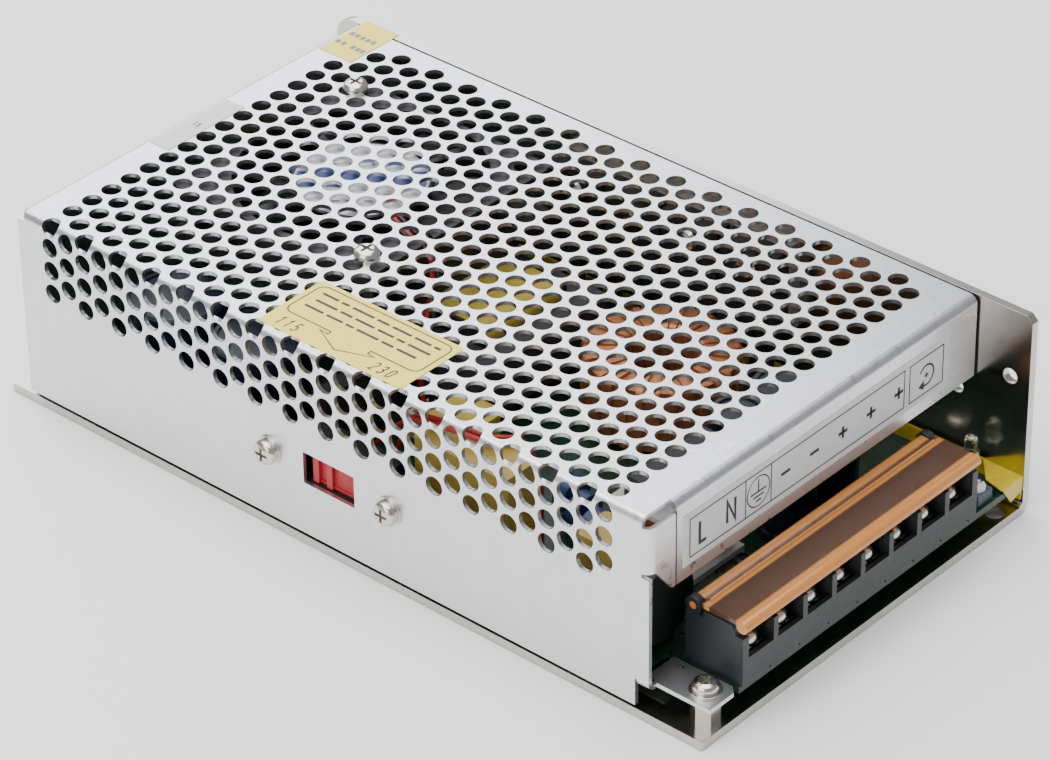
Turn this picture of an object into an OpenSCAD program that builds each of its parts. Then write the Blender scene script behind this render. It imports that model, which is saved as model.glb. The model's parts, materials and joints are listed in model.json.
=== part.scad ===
// Mesh case switching power supply: an L-shaped base sheet with one upright wall, a folded
// perforated cover, and the circuit board, terminal block, fan and heat devices inside.
// X runs across the case, Y along it (terminals at -Y), Z up. Origin: centre of the underside.

/* [Case] */
// Length of the base, along Y
case_l = 200; // [190:1:220]
// Width of the base, along X
case_w = 110; // [108:1:120]
// Height of the case
case_h = 50; // [49:0.5:60]
// Thickness of the base sheet and its wall
base_t = 2; // [1.5:0.1:2.5]
// Outer radius of the base sheet's bend
base_bend_r = 3; // [2.8:0.1:5]
// Bevel of the wall's front top corner
wall_bevel = 2.5; // [1:0.5:6]
// Radius of the wall's rear top corner
wall_rear_r = 5; // [2:0.5:10]

/* [Cover] */
// Thickness of the cover sheet
cover_t = 1; // [0.8:0.1:1.2]
// Outer radius of the cover's bends
cover_bend_r = 2; // [1.6:0.1:2.4]
// Distance from the base's front edge to the cover's front face
front_setback = 14; // [13:0.5:16]
// Distance from the base's rear edge to the cover's rear face
rear_setback = 6; // [4:0.5:10]
// Gap under the cover's skirt
skirt_gap = 0.8; // [0.4:0.1:1.2]
// Gap between the cover's free edge and the wall
wall_gap = 0.6; // [0.3:0.1:1]
// Height of the label strip folded down at the front
strip_h = 20; // [18:1:22]
// Width of the narrow flange beside the strip
side_flange_w = 8.6; // [6:0.2:10]
// Gap at each open seam between folded edges
seam = 0.4; // [0.2:0.1:0.8]
// Width of the rear flange screwed to the wall
wall_flange_w = 12; // [8:0.5:14]
// Length of the tab that is screwed down at the front
tab_l = 17.4; // [16:0.2:17.6]
// Width of the tab
tab_w = 9.1; // [8:0.1:9.3]
// Height of the tab's top face above the underside
tab_z = 8.6; // [8:0.1:10]

/* [Mesh] */
// Diameter of the punched holes
hole_d = 4.6; // [4:0.1:4.8]
// Distance between the centres of neighbouring holes
hole_pitch = 5.9; // [5.7:0.1:7]
// Plain margin from the cover's front face to the first hole centre
mesh_front = 11.5; // [10:0.5:20]
// Plain margin from the last hole centre to the cover's rear face
mesh_rear = 9.5; // [8:0.5:20]
// Plain margin from the cover's free edge to the first hole centre
mesh_edge = 5.5; // [5:0.5:12]
// Plain margin from the skirt's edge to the lowest hole centre
mesh_skirt = 28; // [27:0.5:36]

/* [Board] */
// Thickness of the circuit board
pcb_t = 1.6; // [1:0.1:2]
// Height of the board's standoffs
standoff_h = 4.8; // [4:0.1:5]
// Hexagon of the standoffs, across the flats
standoff_af = 5.5; // [5:0.1:6.5]
// Gap between the board and the case sides
pcb_gap = 3.5; // [2.5:0.1:4]
// Thickness of the insulating films
film_t = 0.3; // [0.2:0.1:0.5]
// Thread diameter of the small machine screws
screw_d = 3; // [2.5:0.5:3]

/* [Terminals] */
// Number of terminals
terminals = 8; // [4:1:8]
// Distance between the terminals
terminal_pitch = 9.5; // [8.5:0.1:9.6]
// Distance from the case's left side to the block's left end
block_inset = 12.9; // [12.7:0.1:14]
// Depth of the block, front to back
block_d = 15.1; // [15:0.1:16]
// Thickness of the barriers between terminals
barrier_t = 1.5; // [1.2:0.1:2]
// Height of the trough floor above the board
trough_z = 4; // [3:0.1:5]
// Height of the front wall above the board
front_lip_z = 6.5; // [6:0.1:7]
// Height of the cover's hinge axis above the board
hinge_z = 14.35; // [14.1:0.05:15]
// Radius of the hinge knuckle
knuckle_r = 1.5; // [1.3:0.05:1.6]
// Radius of the hinge pins
hinge_pin_r = 0.9; // [0.7:0.05:1]
// Thickness of the clear cover's plate
lid_t = 1.1; // [0.8:0.1:1.2]
// Radius of the thick bead along the clear cover's front edge
bead_r = 1.4; // [1:0.1:1.5]
// Running clearance of pins in their holes, on the radius
running = 0.05; // [0.03:0.01:0.08]

/* [Fan] */
// Width of the square fan
fan_w = 60; // [60:1:64]
// Thickness of the fan
fan_t = 15; // [15:1:18]
// Distance from the fan's edges to the centres of its screw holes
fan_hole_inset = 5; // [4:0.1:5.5]
// Diameter of the fan's hub
fan_hub_d = 31; // [26:1:34]
// Number of blades
fan_blades = 7; // [5:1:9]
// Gap between the blade tips and the frame
fan_tip_gap = 0.8; // [0.5:0.1:1.5]
// Centre of the fan across the case
fan_x = 5.6; // [4:0.1:8]
// Gap between the fan and the cover's rear face
fan_rear = 16; // [12:0.5:18]

/* [Voltage selector] */
// Length of the selector's window
window_l = 14.7; // [12:0.1:16]
// Height of the selector's window
window_h = 7.9; // [7:0.1:9]
// Centre of the window along the case
window_y = 2.1; // [0:0.1:4]
// Centre of the window above the underside
window_z = 20; // [19:0.1:20.6]
// Distance between the selector's two screws
selector_screws_l = 34.6; // [34:0.1:36]
// Travel of the slider
slider_travel = 4; // [2:0.5:5]
// Gap round the slider
slider_gap = 0.2; // [0.1:0.05:0.4]

/* [Mounting holes] */
// Distance between the mounting holes along the case
mount_l = 150; // [140:1:160]
// Distance between the mounting holes across the floor
mount_w = 50; // [40:1:60]
// Offset of the wall's mounting holes towards the terminals
mount_wall_shift = 6.3; // [0:0.1:10]
// Diameter of the tapped mounting holes
mount_d = 3.3; // [3:0.1:4]
// Diameter of the hole at the wall's front end
end_hole_d = 3.7; // [3:0.1:4.5]
// Distance of that hole from the wall's front edge
end_hole_y = 5.1; // [4:0.1:8]
// Height of that hole
end_hole_z = 33.4; // [25:0.1:38]
// Diameter of the clearance hole at the floor's front right corner
corner_hole_d = 4.5; // [3:0.1:4.6]
// Distance of that hole from the wall's inner face
corner_hole_x = 5.8; // [5:0.1:8]
// Distance of that hole from the floor's front edge
corner_hole_y = 3.1; // [3:0.1:6]

/* [Hidden] */

// Edges and planes of the case
left_x = -case_w / 2;
right_x = case_w / 2;
front_y = -case_l / 2;
rear_y = case_l / 2;
wall_x = right_x - base_t;
cover_front = front_y + front_setback;
cover_rear = rear_y - rear_setback;
cover_right = wall_x - wall_gap;
roof_z = case_h - cover_t;
side_in = left_x + cover_t;
skirt_z = base_t + skirt_gap;
bend = cover_bend_r;
strip_x = left_x + side_flange_w;
skin = 0.12;              // thickness of the printed labels
round_fn = 48;            // facets asked of round bores and bends
small_fn = 32;            // facets asked of small round parts
over = 1;                 // how far a cutter stands past what it cuts

// Mesh: distances are measured along the sheet from the cover's free edge
mesh_rows_pitch = hole_pitch * sqrt(3) / 2;
mesh_run = cover_rear - cover_front - mesh_front - mesh_rear;
mesh_columns = floor(mesh_run / mesh_rows_pitch) + 1;
mesh_spare = mesh_run - (mesh_columns - 1) * mesh_rows_pitch;
mesh_y0 = cover_front + mesh_front + mesh_spare / 2;
flat_l = cover_right - (left_x + bend);
bend_l = (bend - cover_t / 2) * PI / 2;
sheet_l = flat_l + bend_l + (case_h - bend - skirt_z) - mesh_skirt;
bend_near = 0.6;          // a hole this near the bend is punched square to it

// Board
pcb_z = base_t + standoff_h;
pcb_top = pcb_z + pcb_t;
pcb_left = left_x + pcb_gap;
pcb_right = wall_x - pcb_gap;
pcb_front = front_y + 0.7;
pcb_rear = cover_rear - pcb_gap;
screw_r = screw_d / 2;
tap_r = screw_r;          // a screw fills its tapped hole
free_r = screw_r + 0.2;
head_r = screw_d * 0.97;
head_h = screw_d * 0.72;
washer_r = screw_d * 1.17;
washer_t = 0.5;
standoff_inset = 5.5;
standoff_front = 30;
standoffs = [
    [pcb_left + standoff_inset, cover_front + standoff_front],
    [pcb_right - standoff_inset, cover_front + standoff_front / 3],
    [pcb_left + standoff_inset, pcb_rear - standoff_inset],
    [pcb_right - standoff_inset, pcb_rear - standoff_inset]
];
stub_r = 2.1;             // clinched foot of each standoff

// Front tab
tab_front = cover_front + 3.6 - tab_l;
tab_left = left_x + 2.7;
tab_right = tab_left + tab_w;
tab_screw_x = tab_left + tab_w / 2;
tab_screw_y = tab_front + 4.9;

// Screws through the wall into the cover's rear flange, as Y and Z
cover_screws = [
    for (z = [case_h * 0.28, case_h * 0.74]) [cover_rear - bend - wall_flange_w / 2, z]
];
csk_r = screw_d * 0.93;
csk_h = csk_r - screw_r;

// Terminal block
block_x0 = left_x + block_inset;
block_end = 1.85;
block_x1 = block_x0 + terminals * terminal_pitch + 2.2;
first_bay_x = block_x0 + 1.1;
block_front = front_y + 0.1;
block_back = block_front + block_d;
trough_floor = pcb_top + trough_z;
block_back_wall = block_back - 4.8;
hinge_y = block_back - 1.85;
hinge_top = pcb_top + hinge_z;
lug_r = 2;
back_top = hinge_top - knuckle_r - 0.3;
barrier_low = pcb_top + 12;
lid_top = hinge_top + knuckle_r - 0.1;
barrier_high = lid_top - lid_t - 0.4;
bead_y = block_front + bead_r - 0.8;
bead_z = lid_top - bead_r + 0.15;
screw_row_y = block_front + 5;
plate_t = 0.8;
clamp_t = 1;
clamp_lip = 0.8;
clamp_w = 6.6;
clamp_l = 6.2;
terminal_screw_r = 1.75;
terminal_head_r = 3.2;
terminal_head_h = 3;
tail_w = 4;
function bay_x(i) = first_bay_x + (i + 0.5) * terminal_pitch;

// Fan
fan_y = cover_rear - fan_rear - fan_w / 2;
fan_reach = fan_w / 2 - fan_hole_inset;
fan_top = roof_z;
fan_bottom = fan_top - fan_t;
fan_bore_r = fan_w / 2 - 1.4;
fan_ring_r = fan_w / 2 - 0.2;
fan_plate_t = 3.4;
fan_seat_drop = 1.4;
fan_seat_t = 2;
fan_shaft_r = 1.5;
fan_boss_r = 4;
fan_boss_z = fan_bottom + 4;
lead_d = 1.3;
lead_angle = 250;         // direction of the strut that carries the leads
lead_z = fan_top - fan_seat_drop - fan_seat_t + 0.6;
channel_w = 2 * lead_d + 0.6;
fan_screw_pos = [[-1, -1], [1, 1]];

// Selector
slider_l = 18;
slider_h = window_h + 0.3;
slider_t = 3.2;
slider_recess = 1.5;      // from the side's inner face to the slider's face
housing_wall = 1;
housing_d = 9;
slider_rear = window_y + window_l / 2 - 1.4;
slider_front = slider_rear - slider_l;
slider_z0 = window_z - window_h / 2 + 0.2;
selector_screw_r = 1.5;

// Heat devices on the wall
spreader_t = 3;
spreader_l = 66;
spreader_h = 22;
spreader_drop = 6;        // from the top of the case to the spreader
spreader_top = case_h - spreader_drop;
spreader_y = -5;          // middle of the spreader
pad_t = 0.3;
device_t = 4.8;
device_w = 15.6;
device_h = 20;
device_count = 4;
device_x = wall_x - spreader_t - pad_t;
device_pitch = spreader_l / device_count;
device_z = spreader_top - device_h - 1;
device_hole_z = device_z + device_h - 4.5;
spreader_fixings = [
    for (s = [-1, 1]) [spreader_y + s * device_pitch, spreader_top - 3]
];

// Trimmer and indicator
trimmer_x = block_x1 + 5.1;
trimmer_y = front_y + 4.1;
trimmer_w = 5;
trimmer_h = 2.8;
trimmer_dial_r = 2.1;
trimmer_pin_r = 0.8;
trimmer_well = 1.2;       // depth of the round well that the dial turns in
led_x = wall_x - 4;
led_y = front_y + 11.4;

// --- Shared shapes -------------------------------------------------------------------------

// A quarter ring of sheet: its outer side faces -X and +Y of the sketch
module bend_section(r, t) {
    intersection() {
        difference() {
            circle(r = r, $fn = round_fn);
            circle(r = r - t, $fn = round_fn);
        }
        translate([-r - over, 0]) square(r + over);
    }
}

// A rectangle with round corners, from its lower left corner
module round_rect(w, l, r) {
    translate([r, 0]) square([w - 2 * r, l]);
    translate([0, r]) square([w, l - 2 * r]);
    for (x = [r, w - r]) for (y = [r, l - r]) translate([x, y]) circle(r = r, $fn = small_fn);
}

module round_box(w, l, h, r) {
    linear_extrude(h) round_rect(w, l, r);
}

// A box given by its lowest and highest corners
module span_box(a, b) {
    translate(a) cube(b - a);
}

// Extrudes a sketch drawn in Y and Z along X, from x0 to x1
module along_x(x0, x1) {
    translate([x0, 0, 0]) rotate([90, 0, 90]) linear_extrude(x1 - x0) children();
}

// Extrudes a sketch drawn in X and Z along Y, from y0 to y1
module along_y(y0, y1) {
    translate([0, y1, 0]) rotate([90, 0, 0]) linear_extrude(y1 - y0) children();
}

// The cross recess of a screw head, centred on the axis
module cross_recess(w, depth) {
    arm = w * 0.22;
    translate([0, 0, -depth]) {
        translate([-w / 2, -arm / 2, 0]) cube([w, arm, depth + over]);
        translate([-arm / 2, -w / 2, 0]) cube([arm, w, depth + over]);
    }
}

// A pan head screw standing on z = 0 with its shank below
module pan_screw(r, hr, hh, l) {
    difference() {
        union() {
            rotate_extrude($fn = small_fn) polygon([
                [0, 0], [hr, 0], [hr, hh * 0.45], [hr * 0.86, hh * 0.8], [hr * 0.55, hh], [0, hh]
            ]);
            translate([0, 0, -l]) cylinder(r = r, h = l, $fn = small_fn);
        }
        translate([0, 0, hh]) cross_recess(hr * 1.15, hh * 0.5);
    }
}

module washer(r, hole, t) {
    difference() {
        cylinder(r = r, h = t, $fn = small_fn);
        translate([0, 0, -over]) cylinder(r = hole, h = t + 2 * over, $fn = small_fn);
    }
}

module hexagon(af, h) {
    cylinder(d = af / cos(30), h = h, $fn = 6);
}

// Two or more wire legs under a component, from the board up to height h
module legs(points, h, d = 0.8) {
    for (p = points) translate([p[0], p[1], 0]) cylinder(d = d, h = h, $fn = 16);
}

// A round wire through a list of points: a ring of sides at each point, square to the path
wire_sides = 8;
function unit(v) = v / norm(v);
function heading(p, i) = unit(p[min(i + 1, len(p) - 1)] - p[max(i - 1, 0)]);
function across(t) = unit(cross(t, abs(t[2]) > 0.9 ? [1, 0, 0] : [0, 0, 1]));
function wire_ring(c, t, r) = [
    for (s = [0 : wire_sides - 1])
        c + r * (across(t) * cos(s * 360 / wire_sides)
        + cross(t, across(t)) * sin(s * 360 / wire_sides))
];
module wire(p, d) {
    n = len(p);
    points = [for (i = [0 : n - 1]) each wire_ring(p[i], heading(p, i), d / 2)];
    sides = [
        for (i = [0 : n - 2]) for (s = [0 : wire_sides - 1])
            let (a = i * wire_sides + s, b = i * wire_sides + (s + 1) % wire_sides)
            [a, b, b + wire_sides, a + wire_sides]
    ];
    start = [for (s = [wire_sides - 1 : -1 : 0]) s];
    end = [for (s = [0 : wire_sides - 1]) (n - 1) * wire_sides + s];
    polyhedron(points, concat(sides, [start, end]), convexity = 6);
}

// --- Base ----------------------------------------------------------------------------------

module base_section() {
    translate([left_x, 0]) square([case_w - base_bend_r, base_t]);
    translate([wall_x, base_bend_r]) square([base_t, case_h - base_bend_r]);
    translate([right_x - base_bend_r, base_bend_r]) mirror([1, 0]) mirror([0, 1])
        bend_section(base_bend_r, base_t);
}

// What the wall keeps of its corners, as a sketch in Y and Z
module wall_corners() {
    difference() {
        translate([front_y - over, -over]) square([case_l + 2 * over, case_h + 2 * over]);
        polygon([
            [front_y - 2 * over, case_h - wall_bevel - over],
            [front_y + wall_bevel + over, case_h + 2 * over],
            [front_y - 2 * over, case_h + 2 * over]
        ]);
        difference() {
            translate([rear_y - wall_rear_r, case_h - wall_rear_r])
                square(wall_rear_r + 2 * over);
            translate([rear_y - wall_rear_r, case_h - wall_rear_r])
                circle(r = wall_rear_r, $fn = round_fn);
        }
    }
}

module base_chassis() color("lightsteelblue") {
    difference() {
        intersection() {
            along_y(front_y, rear_y) base_section();
            along_x(left_x - over, right_x + over) wall_corners();
        }
        for (p = standoffs) translate([p[0], p[1], -over])
            cylinder(r = stub_r, h = base_t + 2 * over, $fn = small_fn);
        translate([tab_screw_x, tab_screw_y, -over])
            cylinder(r = stub_r, h = base_t + 2 * over, $fn = small_fn);
        for (x = [-mount_w / 2, mount_w / 2]) for (y = [-mount_l / 2, mount_l / 2])
            translate([x, y, -over]) cylinder(d = mount_d, h = base_t + 2 * over, $fn = small_fn);
        for (y = [-mount_l / 2, mount_l / 2]) wall_hole(y - mount_wall_shift, case_h / 2, mount_d);
        wall_hole(front_y + end_hole_y, end_hole_z, end_hole_d);
        translate([wall_x - corner_hole_x, front_y + corner_hole_y, -over])
            cylinder(d = corner_hole_d, h = base_t + 2 * over, $fn = small_fn);
        for (p = concat(cover_screws, spreader_fixings)) {
            wall_hole(p[0], p[1], 2 * free_r);
            translate([right_x - csk_h, p[0], p[1]]) rotate([0, 90, 0])
                cylinder(r1 = free_r, r2 = free_r + csk_h + over, h = csk_h + over, $fn = small_fn);
        }
    }
}

module wall_hole(y, z, d) {
    translate([wall_x - over, y, z]) rotate([0, 90, 0])
        cylinder(d = d, h = base_t + 2 * over, $fn = small_fn);
}

// --- Cover ---------------------------------------------------------------------------------

// One punched hole at distance s along the sheet from the free edge, in the column at y
module punch(y, s) {
    depth = 4 * cover_t;
    past_bend = s - flat_l - bend_l;
    if (s < flat_l - bend_near)
        translate([cover_right - s, y, case_h - 2 * cover_t])
            cylinder(d = hole_d, h = depth, $fn = small_fn);
    else if (past_bend > -bend_near)
        translate([left_x - cover_t, y, case_h - bend - past_bend]) rotate([0, 90, 0])
            cylinder(d = hole_d, h = depth, $fn = small_fn);
    else
        translate([left_x + bend, y, case_h - bend]) rotate([0, -45, 0])
            cylinder(d = hole_d, h = depth, $fn = small_fn);
}

module mesh_holes() {
    for (i = [0 : mesh_columns - 1]) {
        first = mesh_edge + (i % 2 == 0 ? hole_pitch / 2 : 0);
        for (s = [first : hole_pitch : sheet_l]) punch(mesh_y0 + i * mesh_rows_pitch, s);
    }
}

// The narrow flange folded in from the side beside the strip, as a sketch in X and Z
module side_flange(low) {
    polygon([
        [left_x + bend, case_h - bend - seam], [strip_x - seam, case_h - bend - seam],
        [strip_x - seam, case_h - strip_h], [strip_x - seam - 1, case_h - strip_h],
        [left_x + bend, low]
    ]);
}

// The front tab: a bend under the side's front end, and the tongue in front of it
module front_tab() {
    root = tab_front + tab_l - seam;
    bevel = 1.6;
    bottom = tab_z - cover_t;
    translate([0, 0, bottom]) linear_extrude(cover_t) polygon([
        [left_x + bend, cover_front], [tab_left, cover_front], [tab_left, tab_front],
        [tab_right - bevel, tab_front], [tab_right, tab_front + bevel], [tab_right, root],
        [left_x + bend, root]
    ]);
    along_y(cover_front, root) translate([left_x + bend, bottom + bend]) mirror([0, 1])
        bend_section(bend, cover_t);
}

module cover() color("silver") {
    flange_z = [skirt_z + 4, case_h - bend - 4];
    flange_y = cover_rear - bend;
    low_flange = case_h - strip_h + 6.5;
    difference() {
        union() {
            // top, side and the bend between them
            span_box([left_x + bend, cover_front + bend, roof_z],
                [cover_right, cover_rear - bend, case_h]);
            along_y(cover_front + bend, cover_rear - bend)
                translate([left_x + bend, case_h - bend]) bend_section(bend, cover_t);
            span_box([left_x, cover_front + bend, tab_z - cover_t + bend],
                [side_in, cover_rear, case_h - bend]);
            span_box([left_x, tab_front + tab_l, skirt_z],
                [side_in, cover_rear, tab_z - cover_t + bend]);
            span_box([left_x, cover_front, tab_z - cover_t + bend],
                [side_in, cover_front + bend, low_flange - 1]);
            // front strip
            along_x(strip_x, cover_right) translate([cover_front + bend, case_h - bend])
                bend_section(bend, cover_t);
            span_box([strip_x, cover_front, case_h - strip_h],
                [cover_right, cover_front + cover_t, case_h - bend]);
            // narrow flange beside the strip
            translate([left_x + bend, cover_front + bend, low_flange]) mirror([0, 1, 0])
                linear_extrude(case_h - bend - seam - low_flange) bend_section(bend, cover_t);
            along_y(cover_front, cover_front + cover_t) side_flange(low_flange);
            // rear wall
            along_x(left_x + bend, cover_right) mirror([1, 0])
                translate([-flange_y, case_h - bend]) bend_section(bend, cover_t);
            span_box([side_in + seam, cover_rear - cover_t, skirt_z],
                [cover_right - bend, cover_rear, case_h - bend]);
            span_box([cover_right - bend, cover_rear - cover_t, flange_z[1] + 1],
                [cover_right, cover_rear, case_h - bend]);
            // rear flange along the case wall
            translate([cover_right - bend, flange_y, flange_z[0]]) mirror([1, 0, 0])
                linear_extrude(flange_z[1] - flange_z[0]) bend_section(bend, cover_t);
            span_box([cover_right - cover_t, flange_y - wall_flange_w, flange_z[0]],
                [cover_right, flange_y, flange_z[1]]);
            front_tab();
        }
        mesh_holes();
        span_box([left_x - over, window_y - window_l / 2, window_z - window_h / 2],
            [side_in + over, window_y + window_l / 2, window_z + window_h / 2]);
        for (s = [-1, 1]) translate([left_x - over, window_y + s * selector_screws_l / 2, window_z])
            rotate([0, 90, 0])
            cylinder(r = selector_screw_r + 0.2, h = cover_t + 2 * over, $fn = small_fn);
        translate([tab_screw_x, tab_screw_y, tab_z - cover_t - over])
            cylinder(r = free_r, h = cover_t + 2 * over, $fn = small_fn);
        for (p = fan_screw_pos) fan_place(p) translate([0, 0, roof_z - over])
            cylinder(r = free_r, h = cover_t + 2 * over, $fn = small_fn);
        for (p = cover_screws) translate([cover_right - cover_t - over, p[0], p[1]])
            rotate([0, 90, 0]) cylinder(r = tap_r, h = cover_t + 2 * over, $fn = small_fn);
    }
}

// A countersunk screw put in from outside the case wall, at p = [Y, Z]
module wall_screw(p, l) {
    translate([right_x, p[0], p[1]]) rotate([0, -90, 0]) difference() {
        union() {
            cylinder(r1 = free_r + csk_h - 0.1, r2 = screw_r, h = csk_h + 0.1, $fn = small_fn);
            cylinder(r = screw_r, h = l, $fn = small_fn);
        }
        mirror([0, 0, 1]) cross_recess(csk_r, 0.9);
    }
}

module wall_screws() color("gainsboro") {
    for (p = cover_screws) wall_screw(p, right_x - (cover_right - cover_t) + 1.5);
}

// --- Board and its fixings -----------------------------------------------------------------

module pcb() color("darkgreen") {
    difference() {
        span_box([pcb_left, pcb_front, pcb_z], [pcb_right, pcb_rear, pcb_top]);
        span_box([pcb_left - over, pcb_front - over, pcb_z - over],
            [block_x0 - 0.4, tab_front + tab_l + 2, pcb_top + over]);
        for (p = standoffs) translate([p[0], p[1], pcb_z - over])
            cylinder(r = free_r, h = pcb_t + 2 * over, $fn = small_fn);
        // spare hole at the front right corner
        translate([pcb_right - 4.8, pcb_front + 1.7, pcb_z - over])
            cylinder(r = 1.1, h = pcb_t + 2 * over, $fn = small_fn);
        for (i = [0 : terminals - 1])
            span_box([bay_x(i) - tail_w / 2 - 0.1, block_back_wall - plate_t - 0.3, pcb_z - over],
                [bay_x(i) + tail_w / 2 + 0.1, block_back_wall + 0.1, pcb_top + over]);
    }
}

module hex_post(h) {
    difference() {
        union() {
            translate([0, 0, base_t]) hexagon(standoff_af, h);
            cylinder(r = stub_r, h = base_t, $fn = small_fn);
        }
        translate([0, 0, 0.6]) cylinder(r = tap_r, h = base_t + h, $fn = small_fn);
    }
}

module pcb_standoffs() color("lightgray") {
    for (p = standoffs) translate([p[0], p[1], 0]) hex_post(standoff_h);
}

module pcb_screws() color("gainsboro") {
    for (p = standoffs) translate([p[0], p[1], pcb_top])
        pan_screw(screw_r, head_r, head_h, pcb_t + standoff_h - 0.6);
}

module tab_standoff() color("lightgray") {
    translate([tab_screw_x, tab_screw_y, 0]) hex_post(tab_z - cover_t - base_t);
}

module tab_washer() color("gainsboro") {
    translate([tab_screw_x, tab_screw_y, tab_z]) washer(washer_r, free_r, washer_t);
}

module tab_screw() color("gainsboro") {
    translate([tab_screw_x, tab_screw_y, tab_z + washer_t])
        pan_screw(screw_r, head_r, head_h, tab_z + washer_t - base_t);
}

module floor_insulator() color("honeydew") {
    margin = 1.5;
    difference() {
        span_box([pcb_left + margin, cover_front, base_t],
            [pcb_right - margin, pcb_rear, base_t + film_t]);
        for (p = standoffs) translate([p[0], p[1], 0])
            cylinder(r = standoff_af * 0.7, h = pcb_z, $fn = small_fn);
        for (x = [-mount_w / 2, mount_w / 2]) for (y = [-mount_l / 2, mount_l / 2])
            translate([x, y, 0]) cylinder(r = mount_d, h = pcb_z, $fn = small_fn);
    }
}

// The yellow film: upright against the wall, and folded over the board's front right corner
module wall_insulator() color("gold") {
    low = base_bend_r + 0.5;
    high = pcb_top + 1.2;
    front = pcb_front - 0.1;
    corner_x = pcb_right - 3.7;
    along_y(front, cover_rear - 20)
        translate([wall_x - film_t, low]) square([film_t, high - low]);
    // the flap over the board
    translate([0, 0, high - film_t]) linear_extrude(film_t) polygon([
        [wall_x, front], [wall_x, front + 10.4], [corner_x + 1.2, front + 5.1], [corner_x, front]
    ]);
    // its end, turned down in front of the board's edge
    along_y(front - film_t, front) polygon([
        [wall_x, high], [corner_x, high], [corner_x + 3.2, low + 1.5], [wall_x, low + 2.5]
    ]);
}

// --- Terminal block ------------------------------------------------------------------------

// Side outline of a barrier, as a sketch in Y and Z
module barrier_outline() {
    polygon([
        [block_front, pcb_top], [block_front, barrier_low], [block_front + 2, barrier_low],
        [block_front + 2.9, barrier_high], [block_back_wall, barrier_high],
        [block_back_wall, back_top], [block_back, back_top], [block_back, pcb_top]
    ]);
}

module block_end_wall(x0, x1) {
    along_x(x0, x1) difference() {
        union() {
            barrier_outline();
            translate([hinge_y - lug_r * 0.84, back_top - 1]) square([lug_r * 1.68, 2.2]);
            translate([hinge_y, hinge_top]) circle(r = lug_r, $fn = round_fn);
        }
        translate([hinge_y, hinge_top]) circle(r = hinge_pin_r + running, $fn = round_fn);
    }
}

module terminal_block() color([0.13, 0.14, 0.15]) {
    difference() {
        union() {
            // floor, back wall and front lip
            along_x(block_x0, block_x1) polygon([
                [block_front, pcb_top], [block_front, pcb_top + front_lip_z],
                [block_front + 1.2, pcb_top + front_lip_z], [block_front + 1.2, trough_floor],
                [block_back_wall, trough_floor], [block_back_wall, back_top],
                [block_back, back_top], [block_back, pcb_top]
            ]);
            for (i = [1 : terminals - 1])
                along_x(bay_x(i) - terminal_pitch / 2 - barrier_t / 2,
                    bay_x(i) - terminal_pitch / 2 + barrier_t / 2) barrier_outline();
            block_end_wall(block_x0, block_x0 + block_end);
            block_end_wall(block_x1 - block_end, block_x1);
        }
        for (i = [0 : terminals - 1]) {
            translate([bay_x(i), screw_row_y, pcb_top + 0.8])
                cylinder(r = terminal_screw_r, h = trough_z, $fn = small_fn);
            span_box([bay_x(i) - tail_w / 2, block_back_wall - plate_t, pcb_top - over],
                [bay_x(i) + tail_w / 2, block_back_wall, trough_floor + over]);
            // relief under each bay's front edge
            span_box([bay_x(i) - terminal_pitch / 2 + barrier_t, block_front - over, pcb_top - over],
                [bay_x(i) + terminal_pitch / 2 - barrier_t, block_front + 0.8, pcb_top + 0.7]);
        }
    }
}

module terminal_plates() color("silver") {
    for (i = [0 : terminals - 1]) difference() {
        union() {
            span_box([bay_x(i) - clamp_w / 2, block_front + 1.6, trough_floor],
                [bay_x(i) + clamp_w / 2, block_back_wall, trough_floor + plate_t]);
            span_box([bay_x(i) - tail_w / 2, block_back_wall - plate_t, pcb_z - 1.5],
                [bay_x(i) + tail_w / 2, block_back_wall, trough_floor]);
        }
        translate([bay_x(i), screw_row_y, trough_floor - over])
            cylinder(r = terminal_screw_r, h = plate_t + 2 * over, $fn = small_fn);
    }
}

// Each clamp is a square plate whose front and rear edges are turned down to grip the wire
module terminal_clamps() color("gainsboro") {
    z = trough_floor + plate_t;
    for (i = [0 : terminals - 1]) translate([bay_x(i), screw_row_y, z]) difference() {
        union() {
            translate([-clamp_w / 2, -clamp_l / 2, clamp_lip])
                cube([clamp_w, clamp_l, clamp_t]);
            for (y = [-clamp_l / 2, clamp_l / 2 - clamp_t]) translate([-clamp_w / 2, y, 0])
                cube([clamp_w, clamp_t, clamp_lip]);
        }
        translate([0, 0, -over])
            cylinder(r = terminal_screw_r, h = clamp_lip + clamp_t + 2 * over, $fn = small_fn);
    }
}

module terminal_screws() color("gainsboro") {
    stack = plate_t + clamp_lip + clamp_t;
    for (i = [0 : terminals - 1]) translate([bay_x(i), screw_row_y, trough_floor + stack])
        pan_screw(terminal_screw_r, terminal_head_r, terminal_head_h, stack + trough_z - 1.2);
}

// Side outline of the clear cover's plate, rib and bead, as a sketch in Y and Z
module lid_outline(back) {
    translate([bead_y, lid_top - lid_t]) square([back - bead_y, lid_t]);
    translate([bead_y, bead_z]) circle(r = bead_r, $fn = round_fn);
}

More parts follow.
